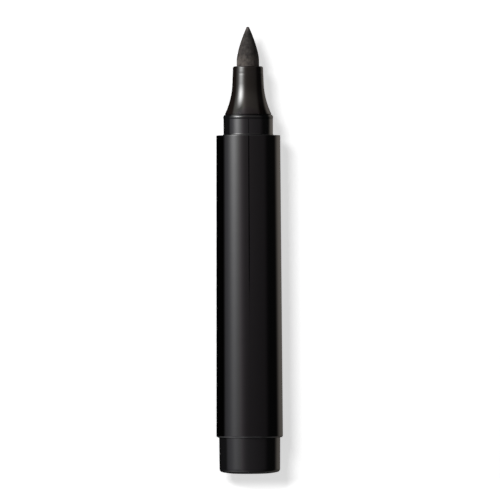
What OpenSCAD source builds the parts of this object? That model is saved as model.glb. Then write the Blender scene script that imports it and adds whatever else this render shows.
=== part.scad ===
// Liquid eyeliner pen with its cap off, standing on its end plug with the nib up.
// The origin is the centre of the end plug's underside, and +Z runs along the pen to the nib.

/* [Relay wick] */
// Diameter of the fibre rod
wick_d = 2.4; // [1.6:0.1:3]
// How far the rod reaches into the nib
wick_in_nib = 4.0; // [2:0.1:7]
// How far the rod reaches into the tank
wick_in_tank = 4.0; // [2:0.1:8]

/* [Mixing balls] */
// Diameter of a mixing ball
ball_d = 3.5; // [2.5:0.1:4.2]
// Room beside a ball, to the wick and to the tank's wall
ball_room = 0.3; // [0.2:0.05:0.6]

/* [Ink tank] */
// Wall of the tank
tank_wall = 0.95; // [0.7:0.05:1.5]
// Thickness of the tank plug's flange
tank_plug_flange = 1.2; // [0.8:0.1:2]
// Length of the tank plug's spigot
tank_plug_spigot = 4.2; // [3.6:0.1:6]
// Wall of the tank plug behind its sealing ring
tank_plug_wall = 0.9; // [0.6:0.1:2]
// Thickness of the tank plug's front wall
tank_plug_front = 1.0; // [0.8:0.1:2]

/* [Seals] */
// Width of a sealing ring's groove along the pen
seal_width = 1.1; // [0.8:0.05:1.4]
// Depth of that groove
seal_groove_depth = 0.65; // [0.5:0.05:0.8]
// From the end of the spigot to the middle of its groove
seal_setback = 2.2; // [1.6:0.1:3]
// Radius of a sealing ring's edges
seal_round = 0.2; // [0.05:0.05:0.25]

/* [Barrel] */
// Length of the barrel, from its rear edge to its shoulder
barrel_length = 72.65; // [60:0.05:90]
// Wall round the tank at the rear edge
barrel_rear_wall = 1.6; // [1.3:0.1:2.4]
// Wall round the tank in line with the shoulder, which gives the barrel its taper
barrel_front_wall = 1.28; // [1:0.02:2.4]
// Length of the narrow neck bore behind the shoulder
barrel_neck_length = 8.8; // [5:0.1:11]
// Radius of the rear edge
barrel_rear_round = 0.65; // [0.1:0.05:0.8]
// Radius of the shoulder's edge
barrel_shoulder_round = 0.25; // [0.1:0.05:0.6]
// Wall of the collar that the cap slides over
collar_wall = 0.7; // [0.65:0.05:1.2]
// Height of that collar, from the shoulder
collar_height = 4.9; // [3:0.1:8]
// Width of the bevel that carries the nose's flare down onto the collar
collar_bevel = 0.26; // [0.1:0.02:0.3]
// Height of that bevel
collar_bevel_height = 0.5; // [0.2:0.05:0.8]
// Radius of the fillet between the collar and the shoulder
collar_fillet = 0.3; // [0.1:0.05:0.5]

/* [End plug] */
// Height of the part of the plug that shows below the barrel
plug_head_height = 8.7; // [5:0.1:12]
// How far the plug's head stands back from the barrel's rear edge
plug_step = 0.65; // [0.2:0.05:1]
// How much narrower the foot is than the top of the head, on each side
plug_draft = 0.07; // [0:0.01:0.3]
// Radius of the foot's edge
plug_foot_round = 0.8; // [0.1:0.05:1]
// Length of the spigot inside the barrel
plug_spigot_length = 10.7; // [8:0.1:14]
// Wall of the spigot
plug_wall = 1.2; // [0.8:0.1:2]
// Thickness of the floor
plug_floor = 1.6; // [1:0.1:3]
// Width of the flat in the middle of the underside, which the pen stands on
plug_flat_d = 7.0; // [4:0.1:10]
// Slope of the crowned underside where it meets the foot's edge, in degrees
plug_crown_angle = 13; // [4:0.5:20]
// How far the snap bead stands out of the spigot
plug_bead_proud = 0.25; // [0.1:0.05:0.4]
// Height of the snap bead
plug_bead_height = 1.2; // [0.8:0.1:2]

/* [Nose cone] */
// Chamfer of the nose's rim, which leaves a seam in front of the collar
nose_rim_chamfer = 0.2; // [0.1:0.05:0.2]
// How far the flare's end stands inside the collar's front edge
nose_rim_step = 0.12; // [0.05:0.01:0.15]
// Height of the concave flare
flare_height = 8.35; // [7:0.05:14]
// Wall of the neck, where the flare ends
neck_wall = 1.0; // [0.8:0.05:1.4]
// Height of the neck
neck_height = 3.35; // [2:0.05:8]
// How much narrower the mouth is than the neck, on each side
mouth_draft = 0.13; // [0:0.01:0.2]
// Radius of the mouth's outer edge
mouth_round = 0.4; // [0.1:0.05:0.5]
// Wall left behind the sealing ring
nose_groove_wall = 0.6; // [0.4:0.05:1]
// How far the wide bore reaches past the front of the collar
nose_bore_reach = 1.8; // [1:0.05:2.6]
// Length of the spigot behind the nose's rim
nose_spigot_length = 21.75; // [18.75:0.05:24.75]
// Number of air grooves along the mouth bore
vent_count = 4; // [2:1:6]
// Width of one air groove
vent_width = 0.8; // [0.4:0.1:1.2]
// Depth of one air groove
vent_depth = 0.3; // [0.1:0.05:0.4]

/* [Nib] */
// Diameter of the nib's shank
nib_d = 5.4; // [4.4:0.1:5.8]
// Length of the shank that shows above the mouth
nib_straight = 1.45; // [0.5:0.05:4]
// Length of the pointed part
nib_point_length = 8.1; // [6:0.1:11]
// Power of the point's outline: 1 is a straight cone, 2 a full bullet
nib_fullness = 1.5; // [1.2:0.05:2]
// Height of the rounded tip
nib_tip_height = 0.25; // [0.1:0.05:0.5]

/* [Nib holder] */
// Height of the holder ring
holder_height = 3.0; // [2:0.1:4]
// Thickness of the lip that stops the nib
holder_lip = 0.8; // [0.5:0.1:1.2]
// Room round the wick in the lip's hole
holder_lip_room = 0.6; // [0.3:0.05:0.9]
// Number of air notches round the holder
holder_notches = 3; // [2:1:6]
// Width of one air notch
holder_notch_width = 1.4; // [0.8:0.1:2]

/* [Collector] */
// Wall of the core, round the wick
collector_core_wall = 0.95; // [0.7:0.05:1.2]
// Thickness of one fin
fin_thickness = 0.45; // [0.3:0.05:0.6]
// Distance from one fin to the next
fin_pitch = 1.2; // [1:0.05:2]
// Thickness of the rear flange
collector_flange = 1.0; // [0.6:0.1:2]
// Length of the solid head at the front
collector_head = 2.6; // [1.6:0.1:4]
// Width of the ink slot
ink_slot_width = 0.4; // [0.3:0.05:0.6]
// Width of the air notch through the fins
air_notch_width = 1.4; // [1:0.1:2]

/* [Fits] */
// Radial clearance of pieces that are pressed or slid together
fit_clearance = 0.05; // [0.02:0.01:0.08]
// Radial clearance of the tank in the barrel
tank_clearance = 0.15; // [0.05:0.05:0.3]
// Clearance of the snap bead and of the sealing rings in their grooves
groove_clearance = 0.05; // [0.02:0.01:0.1]
// Gap under a resting ball
ball_gap = 0.05; // [0.02:0.01:0.1]

/* [Hidden] */

$fn = 96;
// Every cut runs past the face that it goes through by this much
overrun = 0.5;
// Steps along an edge round, and along the flare and the nib's point
round_steps = 8;
curve_steps = 24;
// Steps along the nib's rounded tip
tip_steps = 6;

// Diameters, from the wick outwards
wick_hole_d = wick_d + 2 * fit_clearance;
tank_bore_d = wick_d + 2 * (ball_d + 2 * ball_room);
tank_d = tank_bore_d + 2 * tank_wall;
barrel_bore_d = tank_d + 2 * tank_clearance;
barrel_rear_d = barrel_bore_d + 2 * barrel_rear_wall;
barrel_front_d = barrel_bore_d + 2 * barrel_front_wall;
plug_spigot_d = barrel_bore_d - 2 * fit_clearance;
plug_top_d = barrel_rear_d - 2 * plug_step;
plug_foot_d = plug_top_d - 2 * plug_draft;
collar_d = tank_bore_d + 2 * collar_wall;
vent_bore_d = nib_d + 2 * fit_clearance;
neck_d = vent_bore_d + 2 * neck_wall;
mouth_d = neck_d - 2 * mouth_draft;

// What goes into the tank's bore, and into the neck bore in line with it
spigot_d = tank_bore_d - 2 * fit_clearance;
seal_inner_d = spigot_d - 2 * seal_groove_depth;
nose_bore_d = seal_inner_d - 2 * nose_groove_wall;
nose_insert_d = nose_bore_d - 2 * fit_clearance;
tank_plug_hollow_d = seal_inner_d - 2 * tank_plug_wall;

// Heights above the underside of the end plug, from the rear of the pen to its front
plug_spigot_top_z = plug_head_height + plug_spigot_length;
tank_rear_z = plug_spigot_top_z + tank_plug_flange;
tank_floor_z = tank_rear_z + tank_plug_spigot;
shoulder_z = plug_head_height + barrel_length;
tank_front_z = shoulder_z - barrel_neck_length;
collar_top_z = shoulder_z + collar_height;
nose_rear_z = collar_top_z - nose_spigot_length;
holder_top_z = collar_top_z + nose_bore_reach;
holder_z = holder_top_z - holder_height;
nib_tail_z = holder_z + holder_lip;
flare_top_z = collar_top_z + flare_height;
mouth_z = flare_top_z + neck_height;
nib_tip_z = mouth_z + nib_straight + nib_point_length;
nose_seal_z = nose_rear_z + seal_setback;
tank_seal_z = tank_floor_z - seal_setback;
bead_z = plug_head_height + plug_spigot_length / 2;
ball_rest_z = tank_floor_z + ball_gap + ball_d / 2;

// A ball's middle is half way between the wick and the tank's wall
ball_offset = (wick_d + tank_bore_d) / 4;

// The flare is an arc that leaves the neck upright and ends at the chamfer of the nose's rim
flare_end_r = collar_d / 2 - collar_bevel - nose_rim_step;
flare_run = flare_end_r - neck_d / 2;
flare_drop = flare_height - nose_rim_chamfer;
flare_radius = (flare_run * flare_run + flare_drop * flare_drop) / (2 * flare_run);
flare_angle = asin(flare_drop / flare_radius);

// The crown is an arc that leaves the flat level and runs smoothly into the foot's edge
crown_run = (plug_foot_d - plug_flat_d) / 2 - plug_foot_round * (1 - sin(plug_crown_angle));
crown_radius = crown_run / sin(plug_crown_angle);
crown_height = crown_radius * (1 - cos(plug_crown_angle));

// The nib's outline would come to a point this far past its blunt tip
tip_blunt_share = 0.068;

// Points along an arc round a centre, from one angle to another
function arc_points(centre, radius, from, to, steps) =
    [for (i = [0 : steps])
        centre + radius * [cos(from + (to - from) * i / steps), sin(from + (to - from) * i / steps)]];

// Radius of the nib's point at a share of its length below the tip
function point_radius(share) =
    nib_d / 2 * (1 - pow(1 - (share + tip_blunt_share) / (1 + tip_blunt_share), nib_fullness));

// A tube from one height to another, open at both ends
module tube(outer_d, inner_d, z0, z1) {
    translate([0, 0, z0])
        difference() {
            cylinder(d = outer_d, h = z1 - z0);
            translate([0, 0, -overrun])
                cylinder(d = inner_d, h = z1 - z0 + 2 * overrun);
        }
}

// A plain round bar from one height to another
module bar(diameter, z0, z1) {
    translate([0, 0, z0])
        cylinder(d = diameter, h = z1 - z0);
}

// A ring of square section that cuts a groove into a spigot of the given diameter
module groove(outside_d, depth, width, middle_z) {
    tube(outside_d + 2 * overrun, outside_d - 2 * depth, middle_z - width / 2, middle_z + width / 2);
}

// A rubber ring squeezed flat between its groove and the tank's bore
module seal_ring(middle_z) {
    low_r = seal_inner_d / 2 + groove_clearance + seal_round;
    high_r = tank_bore_d / 2 - groove_clearance / 2 - seal_round;
    half = seal_width / 2 - groove_clearance - seal_round;
    centres = [[high_r, half], [low_r, half], [low_r, -half], [high_r, -half]];
    translate([0, 0, middle_z])
        rotate_extrude()
            polygon([for (i = [0 : 3])
                each arc_points(centres[i], seal_round, 90 * i, 90 * (i + 1), round_steps)]);
}

// Pointed felt nib with a blind hole in its tail for the wick
module nib() {
    tip_share = nib_tip_height / nib_point_length;
    tip_radius = point_radius(tip_share);
    color([0.20, 0.19, 0.19])
        difference() {
            rotate_extrude()
                polygon(concat(
                    [[0, nib_tail_z], [nib_d / 2, nib_tail_z]],
                    [for (i = [0 : curve_steps])
                        let (share = 1 + (tip_share - 1) * i / curve_steps)
                        [point_radius(share), nib_tip_z - nib_point_length * share]],
                    [for (i = [1 : tip_steps])
                        let (angle = 90 * i / tip_steps)
                        [tip_radius * cos(angle), nib_tip_z - nib_tip_height * (1 - sin(angle))]]));
            bar(wick_hole_d, nib_tail_z - overrun, nib_tail_z + wick_in_nib + fit_clearance);
        }
}

// Ring that centres the nib in the nose and stops it, with notches for the air
module nib_holder() {
    notch_x = (nose_insert_d + vent_bore_d) / 4;
    color([0.82, 0.82, 0.80])
        difference() {
            bar(nose_insert_d, holder_z, holder_top_z);
            bar(vent_bore_d, nib_tail_z, holder_top_z + overrun);
            bar(wick_d + 2 * holder_lip_room, holder_z - overrun, nib_tail_z + overrun);
            for (i = [0 : holder_notches - 1])
                rotate([0, 0, 360 * i / holder_notches])
                    translate([notch_x, -holder_notch_width / 2, holder_z - overrun])
                        cube([nose_insert_d, holder_notch_width, holder_height + 2 * overrun]);
        }
}

// Outline of the nose in front of the collar, from the axis outwards
module nose_outline() {
    flare_centre = [neck_d / 2 + flare_radius, flare_top_z];
    mouth_edge = [mouth_d / 2 - mouth_round, mouth_z - mouth_round];
    polygon(concat(
        [[0, collar_top_z], [flare_end_r - nose_rim_chamfer, collar_top_z]],
        arc_points(flare_centre, flare_radius, 180 + flare_angle, 180, curve_steps),
        arc_points(mouth_edge, mouth_round, 0, 90, round_steps),
        [[0, mouth_z]]));
}

// Nose: mouth, neck, flare and spigot, bored for the collector and the nib
module nose_cone() {
    vent_length = mouth_z - holder_top_z;
    color([0.07, 0.07, 0.075])
        difference() {
            union() {
                rotate_extrude()
                    nose_outline();
                bar(spigot_d, nose_rear_z, collar_top_z + overrun);
            }
            bar(nose_bore_d, nose_rear_z - overrun, holder_top_z);
            translate([0, 0, holder_top_z])
                cylinder(d1 = nose_bore_d, d2 = vent_bore_d, h = (nose_bore_d - vent_bore_d) / 2);
            bar(vent_bore_d, holder_top_z, mouth_z + overrun);
            for (i = [0 : vent_count - 1])
                rotate([0, 0, 360 * (i + 1 / 2) / vent_count])
                    translate([0, -vent_width / 2, holder_top_z])
                        cube([vent_bore_d / 2 + vent_depth, vent_width, vent_length + overrun]);
            groove(spigot_d, seal_groove_depth, seal_width, nose_seal_z);
        }
}

// Rubber ring between the nose spigot and the tank
module nose_seal() {
    color([0.12, 0.12, 0.12])
        seal_ring(nose_seal_z);
}

// Finned core with an ink slot on one side and an air notch on the other
module collector() {
    core_d = wick_hole_d + 2 * collector_core_wall;
    comb_z = nose_rear_z + collector_flange;
    comb_length = holder_z - collector_head - comb_z;
    fin_count = floor(comb_length / fin_pitch);
    color([0.90, 0.89, 0.86])
        difference() {
            union() {
                bar(core_d, nose_rear_z, holder_z);
                bar(nose_insert_d, nose_rear_z, comb_z);
                bar(nose_insert_d, comb_z + comb_length, holder_z);
                for (i = [1 : fin_count - 1])
                    translate([0, 0, comb_z + comb_length * i / fin_count - fin_thickness / 2])
                        cylinder(d = nose_insert_d, h = fin_thickness);
            }
            bar(wick_hole_d, nose_rear_z - overrun, holder_z + overrun);
            translate([0, -ink_slot_width / 2, nose_rear_z - overrun])
                cube([nose_insert_d, ink_slot_width, collector_flange + comb_length + overrun]);
            translate([-nose_insert_d - core_d / 2, -air_notch_width / 2, comb_z])
                cube([nose_insert_d, air_notch_width, holder_z - comb_z + overrun]);
        }
}

// Fibre rod from the tank to the nib
module relay_wick() {
    color([0.25, 0.24, 0.25])
        bar(wick_d, nose_rear_z - wick_in_tank, nib_tail_z + wick_in_nib);
}

// Plain tube that holds the ink, against the barrel's step in front
module ink_tank() {
    color([0.85, 0.87, 0.88])
        tube(tank_d, tank_bore_d, tank_rear_z, tank_front_z);
}

// One steel ball, resting on the tank plug
module mixing_ball(side) {
    color([0.75, 0.76, 0.78])
        translate([side * ball_offset, 0, ball_rest_z])
            sphere(d = ball_d);
}

module mixing_ball_1() {
    mixing_ball(1);
}

module mixing_ball_2() {
    mixing_ball(-1);
}

// Stopper of the tank's rear end, hollow from behind
module tank_plug() {
    color([0.88, 0.88, 0.86])
        difference() {
            union() {
                bar(tank_d, plug_spigot_top_z, tank_rear_z);
                bar(spigot_d, tank_rear_z - overrun, tank_floor_z);
            }
            bar(tank_plug_hollow_d, plug_spigot_top_z - overrun, tank_floor_z - tank_plug_front);
            groove(spigot_d, seal_groove_depth, seal_width, tank_seal_z);
        }
}

// Rubber ring between the tank plug and the tank
module tank_plug_seal() {
    color([0.12, 0.12, 0.12])
        seal_ring(tank_seal_z);
}

// Snap bead: a ridge with sloped sides round a spigot of the given diameter
module bead_ring(outside_d, proud, height) {
    rotate_extrude()
        polygon([
            [outside_d / 2 - proud, bead_z - height / 2],
            [outside_d / 2, bead_z - height / 2],
            [outside_d / 2 + proud, bead_z - height / 4],
            [outside_d / 2 + proud, bead_z + height / 4],
            [outside_d / 2, bead_z + height / 2],
            [outside_d / 2 - proud, bead_z + height / 2]]);
}

// Outer shell: tapered outside with a collar in front, a wide bore and a narrow neck bore
module barrel() {
    rear_edge = [barrel_rear_d / 2 - barrel_rear_round, plug_head_height + barrel_rear_round];
    front_edge = [barrel_front_d / 2 - barrel_shoulder_round, shoulder_z - barrel_shoulder_round];
    fillet_centre = [collar_d / 2 + collar_fillet, shoulder_z + collar_fillet];
    color([0.05, 0.05, 0.055])
        difference() {
            rotate_extrude()
                polygon(concat(
                    [[0, plug_head_height]],
                    arc_points(rear_edge, barrel_rear_round, -90, 0, round_steps),
                    arc_points(front_edge, barrel_shoulder_round, 0, 90, round_steps),
                    arc_points(fillet_centre, collar_fillet, 270, 180, round_steps),
                    [[collar_d / 2, collar_top_z - collar_bevel_height],
                        [collar_d / 2 - collar_bevel, collar_top_z],
                        [0, collar_top_z]]));
            bar(barrel_bore_d, plug_head_height - overrun, tank_front_z);
            bar(tank_bore_d, plug_head_height - overrun, collar_top_z + overrun);
            bead_ring(barrel_bore_d, plug_bead_proud, plug_bead_height + 2 * groove_clearance);
        }
}

// Cup that closes the barrel: the head shows, and the spigot snaps into the bore
module end_plug() {
    crown_centre = [plug_flat_d / 2, crown_radius];
    foot_edge = [plug_foot_d / 2 - plug_foot_round, crown_height + plug_foot_round * cos(plug_crown_angle)];
    color([0.06, 0.06, 0.065])
        difference() {
            union() {
                rotate_extrude()
                    polygon(concat(
                        [[0, 0]],
                        arc_points(crown_centre, crown_radius, -90, plug_crown_angle - 90, round_steps),
                        arc_points(foot_edge, plug_foot_round, plug_crown_angle - 90, 0, round_steps),
                        [[plug_top_d / 2, plug_head_height], [0, plug_head_height]]));
                bar(plug_spigot_d, plug_head_height - overrun, plug_spigot_top_z);
                bead_ring(plug_spigot_d, plug_bead_proud, plug_bead_height);
            }
            bar(plug_spigot_d - 2 * plug_wall, plug_floor, plug_spigot_top_z + overrun);
        }
}

nib();
nib_holder();
nose_cone();
nose_seal();
collector();
relay_wick();
ink_tank();
mixing_ball_1();
mixing_ball_2();
tank_plug();
tank_plug_seal();
barrel();
end_plug();
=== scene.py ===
import math

import bpy
import numpy as np
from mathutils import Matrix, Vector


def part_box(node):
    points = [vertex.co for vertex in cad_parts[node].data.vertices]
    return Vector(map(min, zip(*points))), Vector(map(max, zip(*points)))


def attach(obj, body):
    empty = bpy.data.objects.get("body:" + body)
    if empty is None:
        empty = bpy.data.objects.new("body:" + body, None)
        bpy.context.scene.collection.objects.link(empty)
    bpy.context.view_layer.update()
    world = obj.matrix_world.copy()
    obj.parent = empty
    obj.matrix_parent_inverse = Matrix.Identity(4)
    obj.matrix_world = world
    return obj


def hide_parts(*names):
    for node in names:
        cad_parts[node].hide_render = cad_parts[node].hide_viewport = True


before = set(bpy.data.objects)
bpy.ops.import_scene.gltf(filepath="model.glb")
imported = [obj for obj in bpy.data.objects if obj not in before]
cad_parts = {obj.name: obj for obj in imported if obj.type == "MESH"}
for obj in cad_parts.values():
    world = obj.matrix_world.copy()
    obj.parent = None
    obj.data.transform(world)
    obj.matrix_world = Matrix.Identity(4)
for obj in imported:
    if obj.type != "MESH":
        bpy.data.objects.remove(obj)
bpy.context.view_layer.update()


# End plug: the cup-shaped moulding that closes the barrel and that the pen stands on.
# Injection-moulded ABS from a polished mould, snapped into the barrel's bore with its spigot.
# Its underside is crowned round a small flat, with the mark of the mould's gate in the middle.

# Lengths are in millimetres, and MM turns them into metres
MM = 0.001
# Points on each rounded edge
ROUND_STEPS = 14
# Two points that lie nearer than this are one
SAME_PLACE = 1e-5


def linear(hex_colour):
    """sRGB hex colour as linear RGBA: below 0.04045 c / 12.92, else ((c + 0.055) / 1.055) ^ 2.4."""
    channels = np.array([int(hex_colour[i:i + 2], 16) for i in (1, 3, 5)]) / 255
    low = channels / 12.92
    high = ((channels + 0.055) / 1.055) ** 2.4
    return (*np.where(channels <= 0.04045, low, high).tolist(), 1.0)


def add_node(tree, kind, settings=None, inputs=None):
    """Adds one shader node; settings are its properties, and an input is a value or another socket."""
    node = tree.nodes.new(kind)
    for name, value in (settings or {}).items():
        setattr(node, name, value)
    for name, value in (inputs or {}).items():
        if isinstance(value, bpy.types.NodeSocket):
            tree.links.new(value, node.inputs[name])
        else:
            node.inputs[name].default_value = value
    return node


def rounded_outline(corners, closed):
    """Outline through corners [radius, height, edge radius] with an arc in each, and its normals.

    An edge of radius e that turns by t starts e tan(t / 2) before the corner C. Its points are
    O + R(t s)(A - O) for s from 0 to 1, with A the start, O = A + e n the centre, R a turn by the
    angle and n the side's normal on the inside of the turn. The outline runs with the air on its
    right, so that normals point out of the solid.
    """
    spots = np.array([corner[:2] for corner in corners], float)
    edges = np.array([corner[2] for corner in corners], float)
    before = np.roll(spots, 1, 0)
    after = np.roll(spots, -1, 0)
    if not closed:
        before[0] = 2 * spots[0] - after[0]
        after[-1] = 2 * spots[-1] - before[-1]
    inward = (spots - before) / np.linalg.norm(spots - before, axis=1)[:, None]
    outward = (after - spots) / np.linalg.norm(after - spots, axis=1)[:, None]
    turn = np.arctan2(inward[:, 0] * outward[:, 1] - inward[:, 1] * outward[:, 0],
                      (inward * outward).sum(1))
    start = spots - inward * (edges * np.tan(np.abs(turn) / 2))[:, None]
    left = np.stack([-inward[:, 1], inward[:, 0]], 1)
    centre = start + left * (edges * np.sign(turn))[:, None]
    angle = turn[:, None] * np.linspace(0, 1, ROUND_STEPS)
    cos, sin = np.cos(angle)[..., None], np.sin(angle)[..., None]

    def turned(vector):
        return cos * vector[:, None] + sin * np.stack([-vector[:, 1], vector[:, 0]], 1)[:, None]

    points = (centre[:, None] + turned(start - centre)).reshape(-1, 2)
    normals = turned(-left).reshape(-1, 2)
    fresh = np.linalg.norm(points - np.roll(points, 1, 0), axis=1) > SAME_PLACE
    return points[fresh], normals[fresh]


def lathe(name, outline, normals, closed, steps, shape=None):
    """Turns an outline [radius, height] about the pen's axis: (r cos a, r sin a, z) for a round turn of a.

    shape(r, z, a) may change the radius. Ends of an open outline lie on the axis and become poles.
    Normals (nr cos a, nr sin a, nz) come from the outline itself, so long straight sides stay even.
    """
    rows = len(outline)
    angle = np.tile(np.linspace(0, 2 * np.pi, steps, endpoint=False), (rows, 1))
    height = np.repeat(outline[:, 1:], steps, 1)
    radius = np.repeat(outline[:, :1], steps, 1)
    if shape is not None:
        radius = shape(radius, height, angle)
    points = np.stack([radius * np.cos(angle), radius * np.sin(angle), height], -1).reshape(-1, 3)
    index = np.arange(rows * steps).reshape(rows, steps)
    pole = (outline[:, 0] < SAME_PLACE) & (not closed)
    index[pole] = index[pole][:, :1]
    used, index = np.unique(index, return_inverse=True)
    index = index.reshape(rows, steps)
    below = index if closed else index[:-1]
    above = np.roll(index, -1, 0)[:len(below)]
    quads = np.stack([below, np.roll(below, -1, 1), np.roll(above, -1, 1), above], -1).reshape(-1, 4)
    low_pole = quads[:, 0] == quads[:, 1]
    high_pole = quads[:, 2] == quads[:, 3]
    faces = quads[~low_pole & ~high_pole].tolist()
    faces += quads[low_pole][:, [0, 2, 3]].tolist() + quads[high_pole][:, :3].tolist()
    mesh = bpy.data.meshes.new(name)
    mesh.from_pydata(points[used] * MM, [], faces)
    mesh.update()
    mesh.shade_smooth()
    if normals is not None:
        out = np.stack([normals[:, :1] * np.cos(angle), normals[:, :1] * np.sin(angle),
                        np.repeat(normals[:, 1:], steps, 1)], -1).reshape(-1, 3)
        mesh.normals_split_custom_set_from_vertices(out[used].tolist())
    piece = bpy.data.objects.new(name, mesh)
    bpy.context.scene.collection.objects.link(piece)
    return piece


def start_material(name):
    """A new material, its node tree and its Principled shader."""
    material = bpy.data.materials.new(name)
    material.use_nodes = True
    tree = material.node_tree
    return material, tree, tree.nodes["Principled BSDF"]


def gloss_plastic(name, colour, roughness):
    """Black plastic from a polished mould: a clear reflection, faintly wavy, duller where handled."""
    material, tree, shader = start_material(name)
    shader.inputs["Base Color"].default_value = linear(colour)
    shader.inputs["IOR"].default_value = 1.5
    place = add_node(tree, "ShaderNodeTexCoord").outputs["Object"]
    # The mould's polish is wavy over about 3 mm. Every pattern's scale is written as its repeats in a
    # millimetre, here a third, divided by MM.
    waves = add_node(tree, "ShaderNodeTexNoise", None,
                     {"Vector": place, "Scale": 0.33 / MM, "Detail": 1.0})
    bump = add_node(tree, "ShaderNodeBump", None,
                    {"Strength": 0.02, "Distance": 0.2 * MM, "Height": waves.outputs["Fac"]})
    tree.links.new(bump.outputs["Normal"], shader.inputs["Normal"])
    # Handling dulls the gloss in soft patches of about 5 mm
    patches = add_node(tree, "ShaderNodeTexNoise", None,
                       {"Vector": place, "Scale": 0.2 / MM, "Detail": 3.0})
    dull = add_node(tree, "ShaderNodeMapRange", None,
                    {"Value": patches.outputs["Fac"], "From Min": 0.35, "From Max": 0.7,
                     "To Min": roughness, "To Max": roughness * 1.4})
    tree.links.new(dull.outputs["Result"], shader.inputs["Roughness"])
    return material


PLUG_TOP_RADIUS = 7.35
PLUG_FOOT_RADIUS = 7.28
PLUG_FLAT_RADIUS = 3.5
PLUG_CROWN_RADIUS = 14.05
PLUG_CROWN_ANGLE = math.radians(13)
PLUG_EDGE = 0.8
PLUG_FLOOR = 1.6
PLUG_SPIGOT_RADIUS = 6.35
PLUG_BORE_RADIUS = 5.15
GATE_RADIUS = 0.4
GATE_DISH_RADIUS = 1.2
GATE_DISH_DEPTH = 0.15
BEAD_PROUD = 0.25
BEAD_HALF_HEIGHT = 0.6
PLUG_SEAM_EDGE = 0.06
PLUG_RIM_EDGE = 0.2
PLUG_FLOOR_FILLET = 0.3
MOULD_EDGE = 0.05
FINE_EDGE = 0.03
PLUG_STEPS = 192
plug_top_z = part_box("end_plug")[1].z / MM
seam_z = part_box("barrel")[0].z / MM
bead_z = (seam_z + plug_top_z) / 2
crown_corner = PLUG_FLAT_RADIUS + PLUG_CROWN_RADIUS * math.tan(PLUG_CROWN_ANGLE / 2)
foot_corner_z = (PLUG_FOOT_RADIUS - crown_corner) * math.tan(PLUG_CROWN_ANGLE)
plug_corners = [
    (0, GATE_DISH_DEPTH / 3, 0),
    (GATE_RADIUS, GATE_DISH_DEPTH / 3, FINE_EDGE),
    (GATE_RADIUS, GATE_DISH_DEPTH, FINE_EDGE),
    (GATE_DISH_RADIUS - GATE_DISH_DEPTH, GATE_DISH_DEPTH, MOULD_EDGE),
    (GATE_DISH_RADIUS, 0, MOULD_EDGE),
    (crown_corner, 0, PLUG_CROWN_RADIUS),
    (PLUG_FOOT_RADIUS, foot_corner_z, PLUG_EDGE),
    (PLUG_TOP_RADIUS, seam_z, PLUG_SEAM_EDGE),
    (PLUG_SPIGOT_RADIUS, seam_z, FINE_EDGE),
    (PLUG_SPIGOT_RADIUS, bead_z - BEAD_HALF_HEIGHT, MOULD_EDGE),
    (PLUG_SPIGOT_RADIUS + BEAD_PROUD, bead_z - BEAD_HALF_HEIGHT / 2, MOULD_EDGE),
    (PLUG_SPIGOT_RADIUS + BEAD_PROUD, bead_z + BEAD_HALF_HEIGHT / 2, MOULD_EDGE),
    (PLUG_SPIGOT_RADIUS, bead_z + BEAD_HALF_HEIGHT, MOULD_EDGE),
    (PLUG_SPIGOT_RADIUS, plug_top_z, PLUG_RIM_EDGE),
    (PLUG_BORE_RADIUS, plug_top_z, PLUG_RIM_EDGE),
    (PLUG_BORE_RADIUS, PLUG_FLOOR, PLUG_FLOOR_FILLET),
    (0, PLUG_FLOOR, 0),
]
plug_outline, plug_normals = rounded_outline(plug_corners, closed=False)
plug_piece = lathe("end_plug_shell", plug_outline, plug_normals, closed=False, steps=PLUG_STEPS)
# A little light comes back out of the plastic, so its dark side is charcoal and not black
plug_piece.data.materials.append(gloss_plastic("polished_black_abs", "#131314", 0.06))
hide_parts("end_plug")
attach(plug_piece, "pen")


# Barrel: the thick outer shell with a shoulder, and in front of it a bare bevelled collar that the cap
# slides over. One moulding with a slight draft, lacquered gloss black up to the shoulder, its side plain.
BARREL_REAR_RADIUS = 8.0
BARREL_FRONT_RADIUS = 7.68
BARREL_REAR_EDGE = 0.45
BARREL_SHOULDER_EDGE = 0.15
BARREL_BORE_EDGE = 0.1
BARREL_BORE_RADIUS = 6.4
BARREL_NECK_RADIUS = 5.3
BEAD_ROOM = 0.05
COLLAR_RADIUS = 6.0
COLLAR_HEIGHT = 4.9
COLLAR_BEVEL = 0.25
COLLAR_BEVEL_HEIGHT = 0.37
COLLAR_CORNER = 0.7
COLLAR_FILLET = 0.4
# The witness is the faint step that the mould left round the collar, below its bevel
WITNESS_BELOW_TOP = 0.84
WITNESS_HALF_WIDTH = 0.18
WITNESS_STEP = 0.055
WITNESS_EDGE = 0.15
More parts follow.
